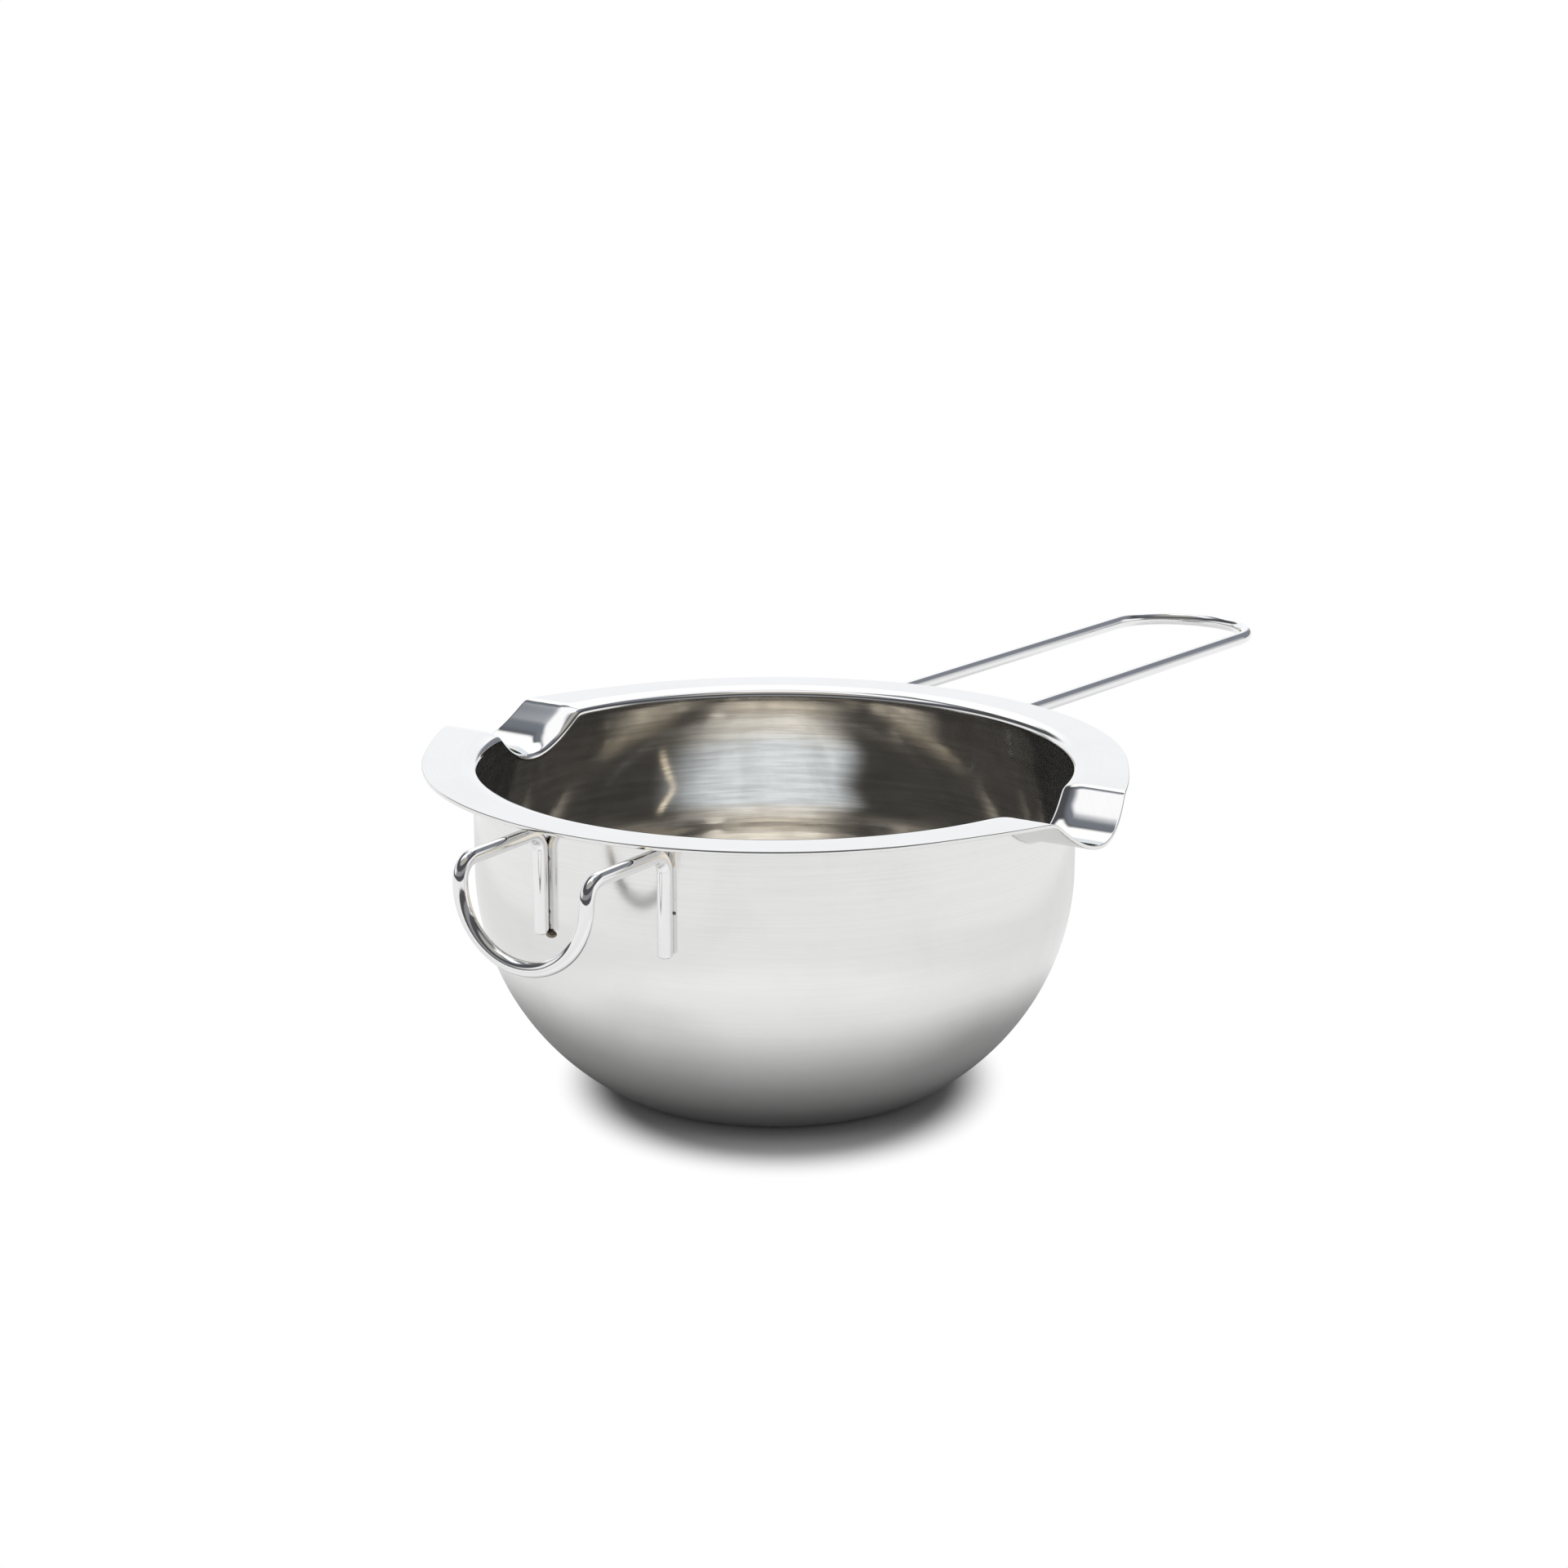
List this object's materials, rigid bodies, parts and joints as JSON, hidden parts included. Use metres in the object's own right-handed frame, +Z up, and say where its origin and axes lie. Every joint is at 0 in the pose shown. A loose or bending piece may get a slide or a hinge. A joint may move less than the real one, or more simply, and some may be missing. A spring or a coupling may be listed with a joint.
{
  "type": "melting bowl",
  "caption": "Stainless-steel melting bowl for a water bath, with a flat rim, pressed pouring spouts, a long wire handle and a wire hook that hangs it on a pan's edge.",
  "frame": {"origin": "centre of the flat base, on its underside, where the bowl stands", "axes": "+Z up through the bowl's mouth, +X along the long handle, with the hook at -X and the spouts at +Y and -Y"},
  "size_m": [0.2378, 0.1268, 0.057],
  "materials": {
    "satin_sheet": "drawn stainless sheet, satin outside, spun polish inside, mirror-bright rim",
    "bright_wire": "bright polished round stainless wire"
  },
  "bodies": {
    "root": {"bowl": "satin_sheet", "handle": "bright_wire", "pan_hook": "bright_wire"}
  },
  "joints": []
}
